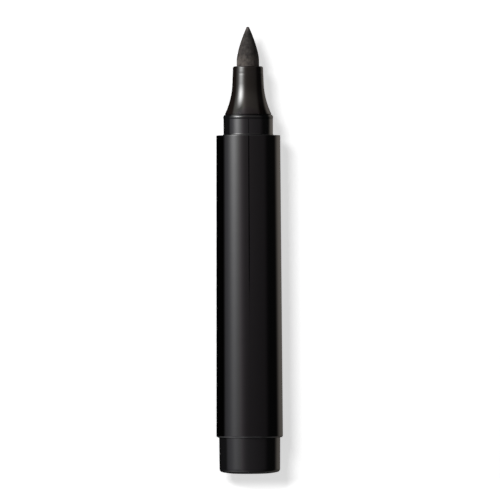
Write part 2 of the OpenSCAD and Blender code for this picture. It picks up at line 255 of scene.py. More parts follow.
# The outer edges carry a painted highlight: a lighter grey where light lines run along them
EDGE_HIGHLIGHT_HEIGHT = 0.45
SHOULDER_HIGHLIGHT_SHARE = 0.12
BARREL_STEPS = 256
collar_top_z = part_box("barrel")[1].z / MM
shoulder_z = collar_top_z - COLLAR_HEIGHT
neck_step_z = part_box("ink_tank")[1].z / MM
witness_z = collar_top_z - WITNESS_BELOW_TOP
barrel_corners = [
    (BARREL_BORE_RADIUS, seam_z, BARREL_BORE_EDGE),
    (BARREL_REAR_RADIUS, seam_z, BARREL_REAR_EDGE),
    (BARREL_FRONT_RADIUS, shoulder_z, BARREL_SHOULDER_EDGE),
    (COLLAR_RADIUS - WITNESS_STEP, shoulder_z, COLLAR_FILLET),
    (COLLAR_RADIUS - WITNESS_STEP, witness_z - WITNESS_HALF_WIDTH, WITNESS_EDGE),
    (COLLAR_RADIUS, witness_z + WITNESS_HALF_WIDTH, WITNESS_EDGE),
    (COLLAR_RADIUS, collar_top_z - COLLAR_BEVEL_HEIGHT, COLLAR_CORNER),
    (COLLAR_RADIUS - COLLAR_BEVEL, collar_top_z, MOULD_EDGE),
    (BARREL_NECK_RADIUS, collar_top_z, FINE_EDGE),
    (BARREL_NECK_RADIUS, neck_step_z, MOULD_EDGE),
    (BARREL_BORE_RADIUS, neck_step_z, MOULD_EDGE),
    (BARREL_BORE_RADIUS, bead_z + BEAD_HALF_HEIGHT + BEAD_ROOM, MOULD_EDGE),
    (BARREL_BORE_RADIUS + BEAD_PROUD, bead_z + (BEAD_HALF_HEIGHT + BEAD_ROOM) / 2, MOULD_EDGE),
    (BARREL_BORE_RADIUS + BEAD_PROUD, bead_z - (BEAD_HALF_HEIGHT + BEAD_ROOM) / 2, MOULD_EDGE),
    (BARREL_BORE_RADIUS, bead_z - BEAD_HALF_HEIGHT - BEAD_ROOM, MOULD_EDGE),
]
barrel_outline, barrel_normals = rounded_outline(barrel_corners, closed=True)
barrel_piece = lathe("barrel_shell", barrel_outline, barrel_normals, closed=True, steps=BARREL_STEPS)
# The lacquer is jet black and deep, and the bare collar above the shoulder is a shade lighter
lacquered_plastic = gloss_plastic("black_lacquered_plastic", "#020202", 0.05)
barrel_tree = lacquered_plastic.node_tree
barrel_place = add_node(barrel_tree, "ShaderNodeTexCoord").outputs["Object"]
barrel_height = add_node(barrel_tree, "ShaderNodeSeparateXYZ", None, {"Vector": barrel_place})
is_collar = add_node(barrel_tree, "ShaderNodeMath", {"operation": "GREATER_THAN"},
                     {0: barrel_height.outputs["Z"], 1: shoulder_z * MM})
barrel_colour = add_node(barrel_tree, "ShaderNodeMix", {"data_type": "RGBA"},
                         {"Factor": is_collar.outputs[0]})
barrel_colour.inputs["A"].default_value = linear("#020202")
barrel_colour.inputs["B"].default_value = linear("#121213")
# Both of its outer edges are painted a lighter grey as a painted highlight: the rear one over its last half
# millimetre, the front one faintly
rear_edge_highlight = add_node(barrel_tree, "ShaderNodeMapRange", None,
                    {"Value": barrel_height.outputs["Z"], "From Min": (seam_z + EDGE_HIGHLIGHT_HEIGHT) * MM,
                     "From Max": (seam_z + EDGE_HIGHLIGHT_HEIGHT / 3) * MM})
from_shoulder = add_node(barrel_tree, "ShaderNodeMath", {"operation": "COMPARE"},
                         {0: barrel_height.outputs["Z"], 1: shoulder_z * MM, 2: EDGE_HIGHLIGHT_HEIGHT / 2 * MM})
both_edges_highlight = add_node(barrel_tree, "ShaderNodeMath", {"operation": "MULTIPLY_ADD"},
                        {0: from_shoulder.outputs[0], 1: SHOULDER_HIGHLIGHT_SHARE, 2: rear_edge_highlight.outputs["Result"]})
# The painted highlight comes and goes along the edge over about 2 mm
highlight_patches = add_node(barrel_tree, "ShaderNodeTexNoise", None,
                       {"Vector": barrel_place, "Scale": 0.5 / MM, "Detail": 2.0})
highlight_spread = add_node(barrel_tree, "ShaderNodeMapRange", None,
                      {"Value": highlight_patches.outputs["Fac"], "From Min": 0.3, "From Max": 0.6,
                       "To Min": 0.6})
edge_highlight = add_node(barrel_tree, "ShaderNodeMath", {"operation": "MULTIPLY"},
                  {0: both_edges_highlight.outputs[0], 1: highlight_spread.outputs["Result"]})
# Lighter grey mixed into the colour as the edges' painted highlight
edge_highlight_colour = add_node(barrel_tree, "ShaderNodeMix", {"data_type": "RGBA"}, {"Factor": edge_highlight.outputs[0]})
edge_highlight_colour.inputs["B"].default_value = linear("#4E4E50")
barrel_tree.links.new(barrel_colour.outputs["Result"], edge_highlight_colour.inputs["A"])
barrel_tree.links.new(edge_highlight_colour.outputs["Result"],
                      barrel_tree.nodes["Principled BSDF"].inputs["Base Color"])
barrel_piece.data.materials.append(lacquered_plastic)
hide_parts("barrel")
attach(barrel_piece, "pen")


# Nose cone: mouth, neck, concave flare and spigot in one moulding of warm black ABS, pressed into the
# barrel's neck until its rim sits on the collar. Four grooves along the mouth bore let air past the nib.
NOSE_RIM_RADIUS = 5.42
NOSE_RIM_CHAMFER = 0.2
NOSE_RIM_EDGE = 0.012
NECK_RADIUS = 3.75
MOUTH_RADIUS = 3.62
MOUTH_EDGE = 0.4
MOUTH_BORE_RADIUS = 2.75
FLARE_HEIGHT = 8.35
NOSE_SPIGOT_RADIUS = 5.25
NOSE_SPIGOT_EDGE = 0.2
NOSE_SEAT_EDGE = 0.02
NOSE_BORE_RADIUS = 4.0
NOSE_BORE_EDGE = 0.1
NOSE_BORE_FILLET = 0.2
NOSE_BORE_ABOVE_COLLAR = 1.8
SEAL_GROOVE_RADIUS = 4.6
SEAL_HALF_WIDTH = 0.55
RING_BELOW_MOUTH = 1.75
RING_HALF_WIDTH = 0.45
RING_DEPTH = 0.014
RING_FLOOR_BEND = 1.5
RING_BANK_BEND = 3
VENT_COUNT = 4
VENT_HALF_WIDTH = 0.4
VENT_DEPTH = 0.3
VENT_WALL = 0.1
VENT_EDGE_REACH = 0.12
NOSE_STEPS = 384
nose_rear_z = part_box("nose_cone")[0].z / MM
mouth_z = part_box("nose_cone")[1].z / MM
seal_z = (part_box("nose_seal")[0].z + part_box("nose_seal")[1].z) / 2 / MM
# The flare is one arc. It touches the drafted neck, and at the rim it leans by twice its chord's angle.
flare_top_z = collar_top_z + FLARE_HEIGHT
flare_end_z = collar_top_z + NOSE_RIM_CHAMFER
flare_end_radius = NOSE_RIM_RADIUS + NOSE_RIM_CHAMFER
neck_lean = math.atan((NECK_RADIUS - MOUTH_RADIUS) / (mouth_z - flare_top_z))
flare_lean = 2 * math.atan((flare_end_radius - NECK_RADIUS) / (flare_top_z - flare_end_z))
flare_corner_z = ((flare_end_radius + flare_end_z * math.tan(flare_lean) - MOUTH_RADIUS
                   - mouth_z * math.tan(neck_lean)) / (math.tan(flare_lean) - math.tan(neck_lean)))
flare_corner_radius = MOUTH_RADIUS + (mouth_z - flare_corner_z) * math.tan(neck_lean)
flare_side = (flare_corner_z - flare_end_z) / math.cos(flare_lean) - NOSE_RIM_EDGE
flare_radius = flare_side / math.tan((flare_lean - neck_lean) / 2)
bore_end_z = collar_top_z + NOSE_BORE_ABOVE_COLLAR


def neck_at(height):
    """Radius of the drafted neck: R + (H - z) tan(lean), with H the mouth's height."""
    return MOUTH_RADIUS + (mouth_z - height) * math.tan(neck_lean)


bore_taper = NOSE_BORE_RADIUS - MOUTH_BORE_RADIUS
ring_z = mouth_z - RING_BELOW_MOUTH
nose_corners = [
    (NOSE_BORE_RADIUS, nose_rear_z, NOSE_BORE_EDGE),
    (NOSE_SPIGOT_RADIUS, nose_rear_z, NOSE_SPIGOT_EDGE),
    (NOSE_SPIGOT_RADIUS, seal_z - SEAL_HALF_WIDTH, MOULD_EDGE),
    (SEAL_GROOVE_RADIUS, seal_z - SEAL_HALF_WIDTH, MOULD_EDGE),
    (SEAL_GROOVE_RADIUS, seal_z + SEAL_HALF_WIDTH, MOULD_EDGE),
    (NOSE_SPIGOT_RADIUS, seal_z + SEAL_HALF_WIDTH, MOULD_EDGE),
    (NOSE_SPIGOT_RADIUS, collar_top_z, NOSE_SEAT_EDGE),
    (NOSE_RIM_RADIUS, collar_top_z, NOSE_SEAT_EDGE),
    (flare_end_radius, flare_end_z, NOSE_RIM_EDGE),
    (flare_corner_radius, flare_corner_z, flare_radius),
    (neck_at(ring_z - RING_HALF_WIDTH), ring_z - RING_HALF_WIDTH, RING_BANK_BEND),
    (neck_at(ring_z) - RING_DEPTH, ring_z, RING_FLOOR_BEND),
    (neck_at(ring_z + RING_HALF_WIDTH), ring_z + RING_HALF_WIDTH, RING_BANK_BEND),
    (MOUTH_RADIUS, mouth_z, MOUTH_EDGE),
    (MOUTH_BORE_RADIUS, mouth_z, NOSE_BORE_EDGE),
    (MOUTH_BORE_RADIUS, bore_end_z + bore_taper, NOSE_BORE_FILLET),
    (NOSE_BORE_RADIUS, bore_end_z, NOSE_BORE_FILLET),
]


def air_grooves(radius, height, angle):
    """Deepens the mouth bore where the distance from a groove's middle is under half its width.

    That distance is r |sin(n b / 2)| / (n / 2), with b the angle from the first of the n grooves. The
    wall of a groove is a slope 0.1 mm wide.
    """
    across = radius * np.abs(np.sin(VENT_COUNT * (angle - np.pi / VENT_COUNT) / 2)) * 2 / VENT_COUNT
    depth = VENT_DEPTH * np.clip((VENT_HALF_WIDTH - across) / VENT_WALL + 0.5, 0, 1)
    in_bore = (height > bore_end_z + bore_taper / 2) & (radius < MOUTH_BORE_RADIUS + VENT_EDGE_REACH)
    return radius + np.where(in_bore, depth, 0)


nose_outline, nose_normals = rounded_outline(nose_corners, closed=True)
nose_piece = lathe("nose_cone_shell", nose_outline, nose_normals, closed=True, steps=NOSE_STEPS,
                   shape=air_grooves)
# The nose's plastic has a brown cast beside the barrel's neutral black
nose_piece.data.materials.append(gloss_plastic("warm_black_abs", "#181311", 0.06))
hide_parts("nose_cone")
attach(nose_piece, "pen")


# Nib: bonded polyester fibre, ground to a point and soaked with black ink, pushed through the mouth
# onto the wick. Its skin is matt, finely pitted, and browner near the mouth where the ink has dried.
NIB_RADIUS = 2.7
NIB_POINT_LENGTH = 8.1
NIB_POWER = 1.5
NIB_BLUNT_SHARE = 0.068
NIB_TIP_HEIGHT = 0.25
NIB_HOLE_RADIUS = 1.25
NIB_HOLE_DEPTH = 4.05
NIB_STEPS = 256
NIB_SHANK_ROWS = 60
NIB_POINT_ROWS = 170
NIB_TIP_ROWS = 9
PIT_WIDTH = 0.16
PIT_LENGTH = 0.3
PIT_DEPTH = 0.03
PIT_SEED = 7
PITS_FROM_MOUTH = 0.5
PITS_FROM_AXIS = 0.6
DRY_HEIGHT = 1.4
DRY_FADE = 1.6
DRY_DRIFT = 2.0
TIP_RUB = 1.5
nib_tail_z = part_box("nib")[0].z / MM
nib_tip_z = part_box("nib")[1].z / MM


def nib_profile():
    """Outline of the nib from its tail's hole to its tip, r = R (1 - (1 - s)^p) along the point.

    s runs from 0 just past the tip to 1 where the point meets the shank, and the last quarter
    millimetre is a quarter ellipse.
    """
    point = np.linspace(1, 0, NIB_POINT_ROWS)[:-1]
    share = point + (1 - point) * NIB_TIP_HEIGHT / NIB_POINT_LENGTH
    radius = NIB_RADIUS * (1 - (1 - (share + NIB_BLUNT_SHARE) / (1 + NIB_BLUNT_SHARE)) ** NIB_POWER)
    height = nib_tip_z - NIB_POINT_LENGTH * share
    tip = np.linspace(0, np.pi / 2, NIB_TIP_ROWS)
    tip_radius = radius[-1] * np.cos(tip)
    tip_height = height[-1] + (nib_tip_z - height[-1]) * np.sin(tip)
    tip_radius[-1] = 0
    shank_z = np.linspace(nib_tail_z, nib_tip_z - NIB_POINT_LENGTH, NIB_SHANK_ROWS)[:-1]
    hole_z = nib_tail_z + NIB_HOLE_DEPTH
    rows = [np.array([[0, hole_z], [NIB_HOLE_RADIUS, hole_z], [NIB_HOLE_RADIUS, nib_tail_z]]),
            np.stack([np.full(len(shank_z), NIB_RADIUS), shank_z], 1),
            np.stack([radius, height], 1), np.stack([tip_radius, tip_height], 1)[1:]]
    return np.concatenate(rows)


def felt_pits(radius, height, angle):
    """Sinks the felt by a noise n: white noise smoothed to the pits' size, r - d clip(n, 0, 2) / 2.

    The smoothing multiplies the noise's transform by exp(-2 (pi f s)^2) along and around the nib, with
    s half a pit's length or width. The pits fade out at the mouth and at the very tip.
    """
    noise = np.fft.fft2(np.random.default_rng(PIT_SEED).standard_normal(radius.shape))
    along = np.fft.fftfreq(radius.shape[0], NIB_POINT_LENGTH / NIB_POINT_ROWS)[:, None]
    around = np.fft.fftfreq(radius.shape[1], 2 * np.pi * NIB_RADIUS / radius.shape[1])[None]
    noise = np.fft.ifft2(noise * np.exp(-2 * (np.pi * along * PIT_LENGTH / 2) ** 2
                                        - 2 * (np.pi * around * PIT_WIDTH / 2) ** 2)).real
    shows = (np.clip((height - mouth_z) / PITS_FROM_MOUTH, 0, 1)
             * np.clip(radius / PITS_FROM_AXIS, 0, 1))
    return radius - PIT_DEPTH * shows * np.clip(noise / noise.std(), 0, 2) / 2


nib_piece = lathe("nib_felt", nib_profile(), None, closed=False, steps=NIB_STEPS, shape=felt_pits)

# Fibres scatter light straight back without a highlight, and the wet ink fills their spaces unevenly
felt, felt_tree, felt_shader = start_material("ink_soaked_polyester_felt")
felt_shader.inputs["Roughness"].default_value = 0.9
felt_shader.inputs["IOR"].default_value = 1.45
felt_shader.inputs["Specular IOR Level"].default_value = 0.25
felt_place = add_node(felt_tree, "ShaderNodeTexCoord").outputs["Object"]
# Mottled where the ink has dried unevenly, over about 1 mm
mottle = add_node(felt_tree, "ShaderNodeTexNoise", None,
                  {"Vector": felt_place, "Scale": 1 / MM, "Detail": 6.0, "Roughness": 0.65})
blotches = add_node(felt_tree, "ShaderNodeMapRange", None,
                    {"Value": mottle.outputs["Fac"], "From Min": 0.35, "From Max": 0.65})
dry_felt = add_node(felt_tree, "ShaderNodeMix", {"data_type": "RGBA"},
                    {"Factor": blotches.outputs["Result"]})
dry_felt.inputs["A"].default_value = linear("#3C3836")
dry_felt.inputs["B"].default_value = linear("#5B5550")
wet_felt = add_node(felt_tree, "ShaderNodeMix", {"data_type": "RGBA"},
                    {"Factor": blotches.outputs["Result"]})
wet_felt.inputs["A"].default_value = linear("#262423")
wet_felt.inputs["B"].default_value = linear("#403C3A")
# The dry band ends unevenly, up to half a millimetre higher or lower, in waves of about 1.7 mm
felt_height = add_node(felt_tree, "ShaderNodeSeparateXYZ", None, {"Vector": felt_place})
drift = add_node(felt_tree, "ShaderNodeTexNoise", None,
                 {"Vector": felt_place, "Scale": 0.6 / MM, "Detail": 2.0})
shifted = add_node(felt_tree, "ShaderNodeMath", {"operation": "MULTIPLY_ADD"},
                   {0: drift.outputs["Fac"], 1: DRY_DRIFT * MM, 2: felt_height.outputs["Z"]})
wetness = add_node(felt_tree, "ShaderNodeMapRange", None,
                   {"Value": shifted.outputs[0], "From Min": (mouth_z + DRY_HEIGHT + DRY_DRIFT / 2) * MM,
                    "From Max": (mouth_z + DRY_HEIGHT + DRY_DRIFT / 2 + DRY_FADE) * MM})
felt_colour = add_node(felt_tree, "ShaderNodeMix", {"data_type": "RGBA"},
                       {"Factor": wetness.outputs["Result"]})
felt_tree.links.new(dry_felt.outputs["Result"], felt_colour.inputs["A"])
felt_tree.links.new(wet_felt.outputs["Result"], felt_colour.inputs["B"])
# The tip is rubbed paler in use, over its last millimetre and a half
tip_rub = add_node(felt_tree, "ShaderNodeMapRange", None,
                   {"Value": shifted.outputs[0], "From Min": (nib_tip_z - TIP_RUB + DRY_DRIFT / 2) * MM,
                    "From Max": (nib_tip_z + DRY_DRIFT / 2) * MM})
rubbed_felt = add_node(felt_tree, "ShaderNodeMix", {"data_type": "RGBA"},
                       {"Factor": tip_rub.outputs["Result"]})
rubbed_felt.inputs["B"].default_value = linear("#5C5655")
felt_tree.links.new(felt_colour.outputs["Result"], rubbed_felt.inputs["A"])
felt_tree.links.new(rubbed_felt.outputs["Result"], felt_shader.inputs["Base Color"])
# Single fibres are 0.02 mm thick, too fine to show, so they are drawn 0.15 mm thick
fibres = add_node(felt_tree, "ShaderNodeTexNoise", None,
                  {"Vector": felt_place, "Scale": 6.5 / MM, "Detail": 2.0})
fibre_bump = add_node(felt_tree, "ShaderNodeBump", None,
                      {"Strength": 0.5, "Distance": 0.06 * MM, "Height": fibres.outputs["Fac"]})
felt_tree.links.new(fibre_bump.outputs["Normal"], felt_shader.inputs["Normal"])
nib_piece.data.materials.append(felt)
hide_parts("nib")
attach(nib_piece, "pen")


# Nib holder and collector: natural acetal and natural ABS mouldings inside the nose, pushed in from
# behind. The ink that they carry has stained them grey in patches.
def inked_moulding(name, clean, stained, roughness):
    """Pale moulded plastic with soft grey ink stains of about 3 mm and a faint eroded-mould grain."""
    material, tree, shader = start_material(name)
    shader.inputs["Roughness"].default_value = roughness
    place = add_node(tree, "ShaderNodeTexCoord").outputs["Object"]
    stains = add_node(tree, "ShaderNodeTexNoise", None,
                      {"Vector": place, "Scale": 0.33 / MM, "Detail": 4.0})
    spread = add_node(tree, "ShaderNodeMapRange", None,
                      {"Value": stains.outputs["Fac"], "From Min": 0.45, "From Max": 0.65})
    colour = add_node(tree, "ShaderNodeMix", {"data_type": "RGBA"}, {"Factor": spread.outputs["Result"]})
    colour.inputs["A"].default_value = linear(clean)
    colour.inputs["B"].default_value = linear(stained)
    tree.links.new(colour.outputs["Result"], shader.inputs["Base Color"])
    # Mould grain of 0.3 mm
    grain = add_node(tree, "ShaderNodeTexNoise", None,
                     {"Vector": place, "Scale": 3.3 / MM, "Detail": 2.0})
    bump = add_node(tree, "ShaderNodeBump", None,
                    {"Strength": 0.15, "Distance": 0.03 * MM, "Height": grain.outputs["Fac"]})
    tree.links.new(bump.outputs["Normal"], shader.inputs["Normal"])
    return material


def finish_solid(node_name, material):
    """Gives a solid of the frame, which stays as it is, its material in place of the plain one."""
    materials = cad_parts[node_name].data.materials
    materials.clear()
    materials.append(material)


# Acetal is milky and slightly waxy, and natural ABS is creamier and duller
finish_solid("nib_holder", inked_moulding("natural_acetal", "#DADAD4", "#8B8C8F", 0.35))
finish_solid("collector", inked_moulding("natural_abs", "#E2DFD3", "#6E6F74", 0.45))


# Relay wick: a rod of bonded fibre that carries the ink from the tank to the nib, held by the collector.
# Soaked through, it is nearly black, with fine ridges along its fibres.
wick, wick_tree, wick_shader = start_material("ink_soaked_fibre_rod")
wick_shader.inputs["Roughness"].default_value = 0.8
wick_place = add_node(wick_tree, "ShaderNodeTexCoord").outputs["Object"]
# Fibre bundles 0.2 mm wide run along the rod for about 5 mm
wick_stretch = add_node(wick_tree, "ShaderNodeMapping", None,
                        {"Vector": wick_place, "Scale": (5 / MM, 5 / MM, 0.2 / MM)})
bundles = add_node(wick_tree, "ShaderNodeTexNoise", None,
                   {"Vector": wick_stretch.outputs["Vector"], "Scale": 1.0})
wick_colour = add_node(wick_tree, "ShaderNodeMix", {"data_type": "RGBA"},
                       {"Factor": bundles.outputs["Fac"]})
wick_colour.inputs["A"].default_value = linear("#1C1C20")
wick_colour.inputs["B"].default_value = linear("#3C3C42")
wick_tree.links.new(wick_colour.outputs["Result"], wick_shader.inputs["Base Color"])
wick_bump = add_node(wick_tree, "ShaderNodeBump", None,
                     {"Strength": 0.5, "Distance": 0.05 * MM, "Height": bundles.outputs["Fac"]})
wick_tree.links.new(wick_bump.outputs["Normal"], wick_shader.inputs["Normal"])
finish_solid("relay_wick", wick)


# Ink tank and tank plug: natural polypropylene, the tube extruded and the stopper moulded, pushed
# together over a sealing ring. Milky and waxy, with a faint blue-grey film of ink.
for node_name in ("ink_tank", "tank_plug"):
    finish_solid(node_name, inked_moulding("natural_polypropylene_" + node_name, "#DDE1E3", "#A9AFB8", 0.3))


# Seals: two moulded nitrile rubber rings, squeezed between the spigots and the tank's bore.
# Dull black, with a fine bloom that greys them in spots.
rubber, rubber_tree, rubber_shader = start_material("moulded_nitrile_rubber")
rubber_shader.inputs["Roughness"].default_value = 0.6
rubber_place = add_node(rubber_tree, "ShaderNodeTexCoord").outputs["Object"]
# Bloom spots of about 0.5 mm
bloom = add_node(rubber_tree, "ShaderNodeTexNoise", None,
                 {"Vector": rubber_place, "Scale": 2 / MM, "Detail": 3.0})
rubber_colour = add_node(rubber_tree, "ShaderNodeMix", {"data_type": "RGBA"},
                         {"Factor": bloom.outputs["Fac"]})
rubber_colour.inputs["A"].default_value = linear("#141414")
rubber_colour.inputs["B"].default_value = linear("#2A2A2B")
rubber_tree.links.new(rubber_colour.outputs["Result"], rubber_shader.inputs["Base Color"])
for node_name in ("nose_seal", "tank_plug_seal"):
    finish_solid(node_name, rubber)


# Mixing balls: two ground and polished stainless steel balls, loose in the ink.
# Bright and mirror-like, with faint grinding haze.
steel, steel_tree, steel_shader = start_material("polished_stainless_steel")
steel_shader.inputs["Base Color"].default_value = linear("#C3C4C6")
steel_shader.inputs["Metallic"].default_value = 1.0
steel_place = add_node(steel_tree, "ShaderNodeTexCoord").outputs["Object"]
# Haze in patches of about 1 mm
haze = add_node(steel_tree, "ShaderNodeTexNoise", None,
                {"Vector": steel_place, "Scale": 1 / MM, "Detail": 3.0})
haze_level = add_node(steel_tree, "ShaderNodeMapRange", None,
                      {"Value": haze.outputs["Fac"], "To Min": 0.08, "To Max": 0.22})
steel_tree.links.new(haze_level.outputs["Result"], steel_shader.inputs["Roughness"])
for node_name in ("mixing_ball_1", "mixing_ball_2"):
    finish_solid(node_name, steel)


# Studio: a white sheet just behind the upright pen, a softbox high on the left, plain soft light, and a
# camera far in front, level with the middle of the pen.

# A pixel of the photograph is PHOTO_PIXEL mm wide. The pen's axis crosses its middle row at AXIS_COLUMN
# and leans by LEAN_PER_PIXEL, and the pen's foot is at BASE_ROW.
PHOTO_WIDTH = 500
PHOTO_PIXEL = 0.2406
AXIS_COLUMN = 248.85
LEAN_PER_PIXEL = 0.0047
BASE_ROW = 473.5
CAMERA_DISTANCE = 1800
CAMERA_HEIGHT = 52
CAMERA_NEAREST = 10
CAMERA_FURTHEST = 20000
SENSOR_WIDTH = 36

camera_data = bpy.data.cameras.new("camera")
camera_data.sensor_width = SENSOR_WIDTH
camera_data.lens = SENSOR_WIDTH * CAMERA_DISTANCE / (PHOTO_WIDTH * PHOTO_PIXEL)
camera_data.clip_start = CAMERA_NEAREST * MM
camera_data.clip_end = CAMERA_FURTHEST * MM
camera = bpy.data.objects.new("camera", camera_data)
bpy.context.scene.collection.objects.link(camera)
centre_height = (BASE_ROW - PHOTO_WIDTH / 2) * PHOTO_PIXEL
camera.location = ((PHOTO_WIDTH / 2 - AXIS_COLUMN) * PHOTO_PIXEL * MM, -CAMERA_DISTANCE * MM,
                   CAMERA_HEIGHT * MM)
camera.rotation_euler = (math.pi / 2 + math.atan((centre_height - CAMERA_HEIGHT) / CAMERA_DISTANCE),
                         math.atan(LEAN_PER_PIXEL), 0)
bpy.context.scene.camera = camera


def stage_square(name, half_size, place, turn):
    """Upright square facing the camera at turn 0: corners (x, 0, z) = (-h, -h) to (h, h).

    It sheds no soft light on the pen.
    """
    mesh = bpy.data.meshes.new(name)
    corners = np.array([(-1, 0, -1), (1, 0, -1), (1, 0, 1), (-1, 0, 1)]) * half_size * MM
    mesh.from_pydata(corners, [], [(0, 1, 2, 3)])
    square = bpy.data.objects.new(name, mesh)
    square.location = np.array(place) * MM
    square.rotation_euler = (0, 0, turn)
    bpy.context.scene.collection.objects.link(square)
    square.visible_diffuse = False
    return square


SHEET_BEHIND = 8.2
SHEET_HALF = 160
SHEET_GLOW = 0.595
SHEET_GLOW_BELOW = 0.95
SHADOW_FADES_FROM = -1.5
SHADOW_FADES_TO = -4.9
sheet = stage_square("white_sheet", SHEET_HALF, (0, SHEET_BEHIND, 0), 0)
sheet.visible_glossy = False
paper, paper_tree, paper_shader = start_material("white_paper")
paper_tree.nodes.remove(paper_shader)
# Matt white paper: a lamp lights its front, and its back is clear, so that it hides nothing from behind
lit = add_node(paper_tree, "ShaderNodeBsdfDiffuse", None, {"Color": linear("#F2F2F2")})
# It also glows by itself, evenly to stay white, and more strongly below the pen's foot: a painted light
# that makes the shadow end sooner there
paper_place = add_node(paper_tree, "ShaderNodeTexCoord").outputs["Object"]
paper_height = add_node(paper_tree, "ShaderNodeSeparateXYZ", None, {"Vector": paper_place})
painted_glow_level = add_node(paper_tree, "ShaderNodeMapRange", {"interpolation_type": "SMOOTHSTEP"},
                   {"Value": paper_height.outputs["Z"], "From Min": SHADOW_FADES_TO * MM,
                    "From Max": SHADOW_FADES_FROM * MM, "To Min": SHEET_GLOW_BELOW, "To Max": SHEET_GLOW})
glow = add_node(paper_tree, "ShaderNodeEmission", None,
                {"Color": linear("#FFFFFF"), "Strength": painted_glow_level.outputs["Result"]})
both = add_node(paper_tree, "ShaderNodeAddShader", None, {0: lit.outputs[0], 1: glow.outputs[0]})
clear = add_node(paper_tree, "ShaderNodeBsdfTransparent")
side = add_node(paper_tree, "ShaderNodeNewGeometry")
front_only = add_node(paper_tree, "ShaderNodeMixShader", None,
                      {"Fac": side.outputs["Backfacing"], 1: both.outputs[0], 2: clear.outputs[0]})
paper_tree.links.new(front_only.outputs[0], paper_tree.nodes["Material Output"].inputs["Surface"])
sheet.data.materials.append(paper)

# The softbox is seen only in reflections. Its bright middle and the dimmer silk under it each fade as a
# bell curve, L exp(-((x / a)^2 + ((z - h) / b)^2) / 2), with a the spread to the sides. Each of its glows
# is a height h, a spread b up and down and a level L.
KEY_AZIMUTH = math.radians(-53.5)
SOFTBOX_DISTANCE = 400
SOFTBOX_HALF = 405
SOFTBOX_SIDE_SPREAD = 81
SOFTBOX_GLOWS = ((238, 68, 21.0), (150, 110, 2.2))
softbox_place = (SOFTBOX_DISTANCE * math.sin(KEY_AZIMUTH), -SOFTBOX_DISTANCE * math.cos(KEY_AZIMUTH), 0)
softbox = stage_square("softbox", SOFTBOX_HALF, softbox_place, KEY_AZIMUTH)
softbox.visible_camera = False
softbox.visible_shadow = False
softbox.visible_transmission = False
silk, silk_tree, silk_shader = start_material("lit_silk")
silk_tree.nodes.remove(silk_shader)
silk_place = add_node(silk_tree, "ShaderNodeTexCoord").outputs["Object"]
bright = 0.0
for height, spread, level in SOFTBOX_GLOWS:
    reach = add_node(silk_tree, "ShaderNodeMapping", None,
                     {"Vector": silk_place, "Location": (0, 0, -height / spread),
                      "Scale": (1 / (SOFTBOX_SIDE_SPREAD * MM), 0, 1 / (spread * MM))})
    reach_squared = add_node(silk_tree, "ShaderNodeVectorMath", {"operation": "DOT_PRODUCT"},
                             {0: reach.outputs["Vector"], 1: reach.outputs["Vector"]})
    fade = add_node(silk_tree, "ShaderNodeMath", {"operation": "MULTIPLY"},
                    {0: reach_squared.outputs["Value"], 1: -0.5})
    bell = add_node(silk_tree, "ShaderNodeMath", {"operation": "EXPONENT"}, {0: fade.outputs[0]})
    bright = add_node(silk_tree, "ShaderNodeMath", {"operation": "MULTIPLY_ADD"},
                      {0: bell.outputs[0], 1: level, 2: bright}).outputs[0]
# Rays pass through it where it doesn't glow
silk_glow = add_node(silk_tree, "ShaderNodeEmission", None,
                     {"Color": linear("#FFFFFF"), "Strength": bright})
silk_clear = add_node(silk_tree, "ShaderNodeBsdfTransparent")
silk_both = add_node(silk_tree, "ShaderNodeAddShader", None,
                     {0: silk_glow.outputs[0], 1: silk_clear.outputs[0]})
silk_tree.links.new(silk_both.outputs[0], silk_tree.nodes["Material Output"].inputs["Surface"])
softbox.data.materials.append(silk)

# The camera's dark body shows as one fine dark line down the front of the collar and the upper barrel
BODY_HALF = 52
BODY_ASIDE = 45
BODY_AHEAD = 100
BODY_HEIGHT = 105
body = stage_square("camera_body", BODY_HALF, (BODY_ASIDE, BODY_AHEAD - CAMERA_DISTANCE, BODY_HEIGHT), 0)
body.visible_camera = False
body.visible_shadow = False
body.visible_transmission = False
body_black, _, body_shader = start_material("black_camera_body")
body_shader.inputs["Base Color"].default_value = linear("#050505")
body_shader.inputs["Roughness"].default_value = 0.8
body.data.materials.append(body_black)


def soft_lamp(name, azimuth, elevation, distance, size, level, sheet_state):
    """Square area light aimed at the pen's middle; azimuth 0 is at the camera, positive to its right.

    A white surface that faces it shows the level, so its power is pi^2 d^2 level. The sheet is the
    only thing that it lights, or the only thing that it doesn't.
    """
    data = bpy.data.lights.new(name, "AREA")
    data.size = size * MM
    data.energy = (math.pi * distance * MM) ** 2 * level
    lamp = bpy.data.objects.new(name, data)
    away = np.array([math.sin(azimuth) * math.cos(elevation), -math.cos(azimuth) * math.cos(elevation),
                     math.sin(elevation)])
    lamp.location = (np.array([0, 0, nib_tip_z / 2]) + away * distance) * MM
    lamp.rotation_euler = (math.pi / 2 - elevation, 0, azimuth)
    lamp.visible_glossy = False
    lamp.visible_camera = False
    bpy.context.scene.collection.objects.link(lamp)
    lit_things = bpy.data.collections.new(name + "_lights")
    lit_things.objects.link(sheet)
    lit_things.collection_objects[0].light_linking.link_state = sheet_state
    lamp.light_linking.receiver_collection = lit_things


soft_lamp("key_lamp", azimuth=KEY_AZIMUTH, elevation=math.radians(24), distance=900, size=300, level=1.2,
          sheet_state="EXCLUDE")
soft_lamp("shadow_lamp", azimuth=math.radians(-17.7), elevation=math.radians(19.8), distance=1000, size=250,
          level=0.46, sheet_state="INCLUDE")

# Gloss reflects the studio by direction, as zones that add: each is a level around times a level upward.
# A stop is an angle in degrees, a level and a tint. Around, 0 is at the camera and plus is to its right.
COOL = (0.975, 0.965, 1.06)
PLAIN = (1.0, 1.0, 1.0)
ROSE = (1.0, 0.89, 0.97)
STRAW = (1.0, 1.05, 0.89)
WARM = (1.0, 0.91, 0.82)
